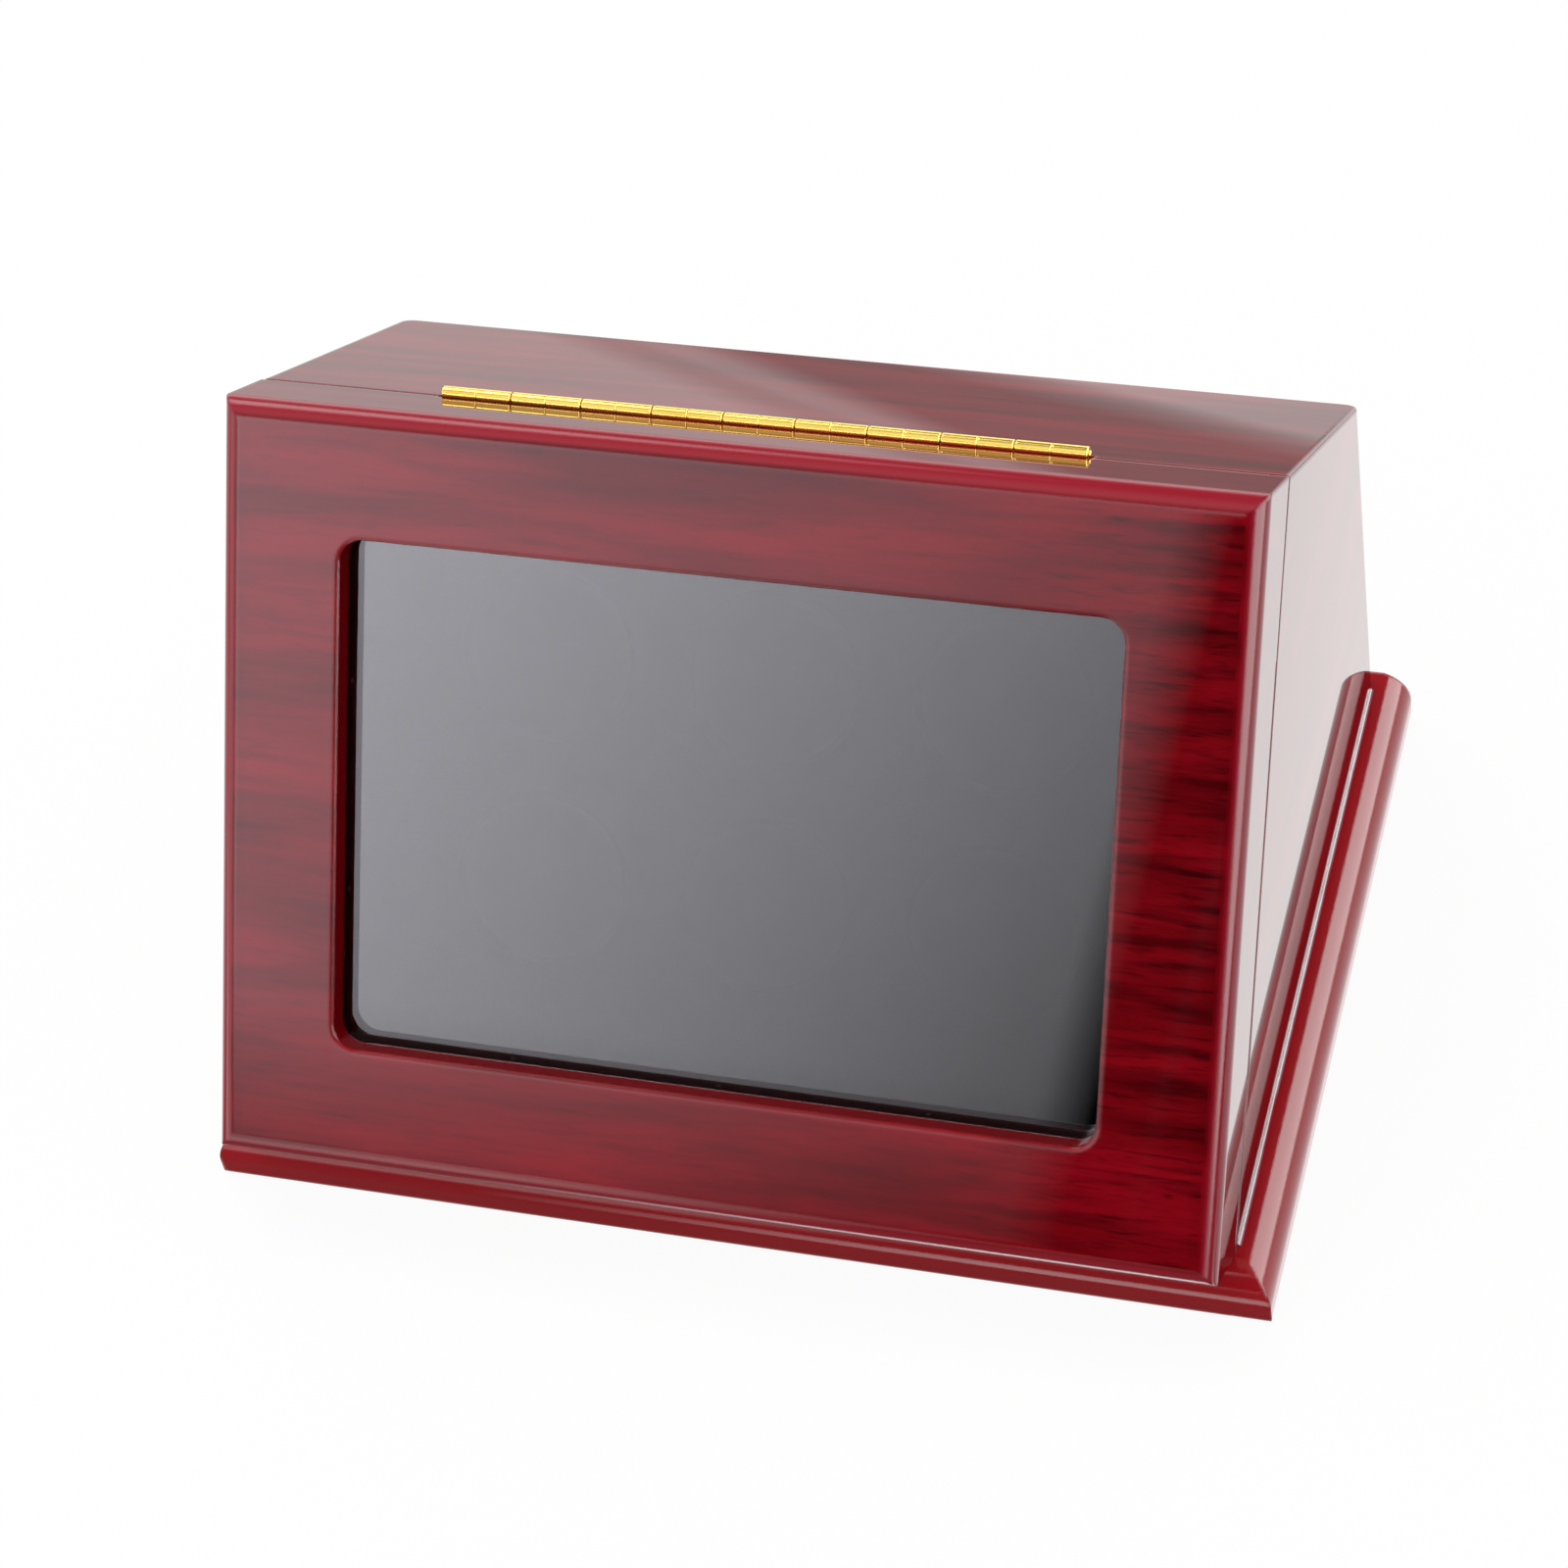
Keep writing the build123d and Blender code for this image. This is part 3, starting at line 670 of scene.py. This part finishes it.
def makeFloor():
    # Nearly white when seen or mirrored, and grey in the light that it gives back.
    half = studioValues["floorHalf"]
    card = flatCard("floor", (-half, half), (-half, half))
    finish, tree, shader, _ = newFinish("pale_floor")
    path = addNode(tree, "ShaderNodeLightPath")
    seen = addNode(tree, "ShaderNodeMath", {0: path.outputs["Is Camera Ray"],
                                            1: path.outputs["Is Glossy Ray"]}, operation="MAXIMUM")
    shown = addNode(tree, "ShaderNodeMath", {0: seen.outputs[0],
                                             1: path.outputs["Is Transmission Ray"]}, operation="MAXIMUM")
    share = addNode(tree, "ShaderNodeMath", {0: shown.outputs[0], 1: studioValues["floorGlow"]},
                    operation="MULTIPLY")
    setInputs(tree, shader, {"Base Color": linear(studioValues["floorGrey"]), "Roughness": 1.0,
                             "Specular IOR Level": 0.0})
    outward = unlessFromWithin(tree, studioValues["floorWhite"])
    white = addNode(tree, "ShaderNodeEmission", {"Color": (1, 1, 1, 1), "Strength": outward})
    mixed = addNode(tree, "ShaderNodeMixShader", {"Fac": share.outputs[0], 1: shader.outputs[0],
                                                  2: white.outputs[0]})
    setInputs(tree, tree.nodes["Material Output"], {"Surface": mixed.outputs[0]})
    card.data.materials.append(finish)


def lightCard(card, finish, tree, level, colour=(1, 1, 1, 1)):
    outward = unlessFromWithin(tree, level)
    glow = addNode(tree, "ShaderNodeEmission", {"Color": colour, "Strength": outward})
    setInputs(tree, tree.nodes["Material Output"], {"Surface": glow.outputs[0]})
    card.data.materials.append(finish)
    card.visible_camera = False
    card.visible_diffuse = False
    card.visible_shadow = False


def fadingLevel(tree, parts, values):
    # The full level where the card's own X and Y are below their spans, falling to nothing across them.
    level = values["level"]
    for axis, (full, gone) in values["spans"].items():
        level = addNode(tree, "ShaderNodeMapRange", {
            "Value": parts.outputs[axis], "From Min": full * mm, "From Max": gone * mm,
            "To Min": level, "To Max": 0.0}).outputs[0]
    return level


def makeFrontCard():
    # Parallel to the leaning front, which mirrors it: brightest high on the left, black on the right.
    values = frontCardValues
    centre = frontOut * (frontLevel + values["away"] * mm) + frontUp * frontTop
    turn = Matrix((Vector((1, 0, 0)), frontUp, frontOut)).transposed().to_4x4()
    card = flatCard("front_card", values["across"], values["up"], Matrix.Translation(centre) @ turn)
    finish, tree, _, coords = newFinish("front_card_cloth")
    sloped = addNode(tree, "ShaderNodeVectorMath", {0: coords, 1: values["slope"] + (0,)},
                     operation="DOT_PRODUCT")
    raised = addNode(tree, "ShaderNodeMath", {0: sloped.outputs["Value"], 1: values["level"]},
                     operation="ADD")
    glow = addNode(tree, "ShaderNodeMath", {0: raised.outputs[0], 1: 0.0}, operation="MAXIMUM")
    parts = addNode(tree, "ShaderNodeSeparateXYZ", {"Vector": coords})
    edgeAt, lean = values["rightEdge"]
    across = addNode(tree, "ShaderNodeVectorMath", {0: coords, 1: (1, -lean, 0)}, operation="DOT_PRODUCT")
    start, end = values["rightSpan"]
    fromEdge = addNode(tree, "ShaderNodeMapRange", {
        "Value": across.outputs["Value"], "From Min": (edgeAt + start) * mm,
        "From Max": (edgeAt + end) * mm})
    right = addNode(tree, "ShaderNodeValToRGB", {"Fac": fromEdge.outputs[0]}, stops=values["rightStops"])
    level = addNode(tree, "ShaderNodeMath", {0: glow.outputs[0], 1: right.outputs[0]},
                    operation="MULTIPLY").outputs[0]
    for axis, (start, end), (before, after) in values["edges"]:
        share = addNode(tree, "ShaderNodeMapRange", {
            "Value": parts.outputs[axis], "From Min": start * mm, "From Max": end * mm,
            "To Min": before, "To Max": after})
        level = addNode(tree, "ShaderNodeMath", {0: level, 1: share.outputs[0]},
                        operation="MULTIPLY").outputs[0]
    low = fadingLevel(tree, parts, values["lowGlow"])
    level = addNode(tree, "ShaderNodeMath", {0: level, 1: low}, operation="ADD").outputs[0]
    lightCard(card, finish, tree, level, linear(values["colour"]))


def makeRightCard():
    # Stands to the right, and gives the rounds and the moulding their pale edges.
    # Its own X runs towards the back and its Y up.
    values = rightCardValues
    turn = Matrix(((0, 0, -1, values["place"] * mm), (1, 0, 0, 0), (0, 1, 0, 0), (0, 0, 0, 1)))
    card = flatCard("right_card", values["along"], values["up"], turn)
    finish, tree, _, coords = newFinish("right_card_cloth")
    parts = addNode(tree, "ShaderNodeSeparateXYZ", {"Vector": coords})
    low, high = values["change"]
    glow = addNode(tree, "ShaderNodeMapRange", {
        "Value": parts.outputs["X"], "From Min": low * mm, "From Max": high * mm,
        "To Min": values["level"][0], "To Max": values["level"][1]})
    lightCard(card, finish, tree, glow.outputs[0])


def lyingCard(name):
    # A card on the floor, just clear of it, whose material is still to be lit: it glows with painted
    # floor light and shade, seen only when mirrored.
    lift = Matrix.Translation((0, 0, lyingCardValues["lift"] * mm))
    values = lyingCardValues[name]
    card = flatCard(name + "_paper", values["across"], values["along"], lift)
    finish, tree, _, coords = newFinish(name + "_paper_painted_light")
    return card, finish, tree, coords


def makeSidePaper():
    # Beside the case, a painted pool of floor light for its right side and the moulding to mirror.
    card, finish, tree, _ = lyingCard("side")
    lightCard(card, finish, tree, lyingCardValues["side"]["level"])


def makeFrontPaper():
    # In front of the base plate, for the moulding and the door's lower edge to mirror: dim painted shade
    # on the floor next to the case, with painted bright strips further out.
    card, finish, tree, coords = lyingCard("front")
    parts = addNode(tree, "ShaderNodeSeparateXYZ", {"Vector": coords})
    strip = lyingCardValues["strip"]
    near, far = strip["across"]
    setIn = addNode(tree, "ShaderNodeMapRange", {
        "Value": parts.outputs["X"], "From Min": near * mm, "From Max": far * mm})
    middle = sum(strip["along"]) / 2 * mm
    reach = middle - strip["along"][0] * mm
    within = addNode(tree, "ShaderNodeMath", {0: parts.outputs["Y"], 1: middle, 2: reach},
                     operation="COMPARE")
    lit = addNode(tree, "ShaderNodeMath", {0: within.outputs[0], 1: setIn.outputs[0]},
                  operation="MULTIPLY")
    dim = lyingCardValues["front"]["level"]
    level = addNode(tree, "ShaderNodeMapRange", {
        "Value": lit.outputs[0], "To Min": dim, "To Max": dim + strip["level"]})
    out = fadingLevel(tree, parts, lyingCardValues["out"])
    both = addNode(tree, "ShaderNodeMath", {0: level.outputs[0], 1: out}, operation="ADD")
    lightCard(card, finish, tree, both.outputs[0])


def makeBackPaper():
    # On the floor behind, half in shadow, for the top to mirror.
    card, finish, tree, coords = lyingCard("back")
    tones = []
    for name in ("near", "far"):
        edge = lyingCardValues[name]
        reach = addNode(tree, "ShaderNodeVectorMath", {0: coords, 1: edge["normal"] + (0,)},
                        operation="DOT_PRODUCT")
        low, high = edge["span"]
        across = addNode(tree, "ShaderNodeMapRange", {
            "Value": reach.outputs["Value"], "From Min": low * mm, "From Max": high * mm})
        tones.append(addNode(tree, "ShaderNodeValToRGB", {"Fac": across.outputs[0]},
                             stops=edge["stops"]).outputs[0])
    lighter = addNode(tree, "ShaderNodeMix", {"Factor": 1.0, "A": tones[0], "B": tones[1]},
                      data_type="RGBA", blend_type="LIGHTEN")
    lightCard(card, finish, tree, 1.0, lighter.outputs[2])


def makeOverhead():
    data = bpy.data.lights.new("overhead", "AREA")
    data.shape = "SQUARE"
    data.size = studioValues["overheadSize"] * mm
    data.energy = studioValues["overheadPower"]
    lamp = bpy.data.objects.new("overhead", data)
    lamp.location = Vector(studioValues["overheadPlace"]) * mm
    lamp.rotation_euler = (-lamp.location).to_track_quat("-Z", "Y").to_euler()
    lamp.visible_glossy = False
    lamp.visible_transmission = False
    bpy.context.scene.collection.objects.link(lamp)


makeRoom()
makeFloor()
makeFrontCard()
makeRightCard()
makeSidePaper()
makeFrontPaper()
makeBackPaper()
makeOverhead()
print("studio lit")
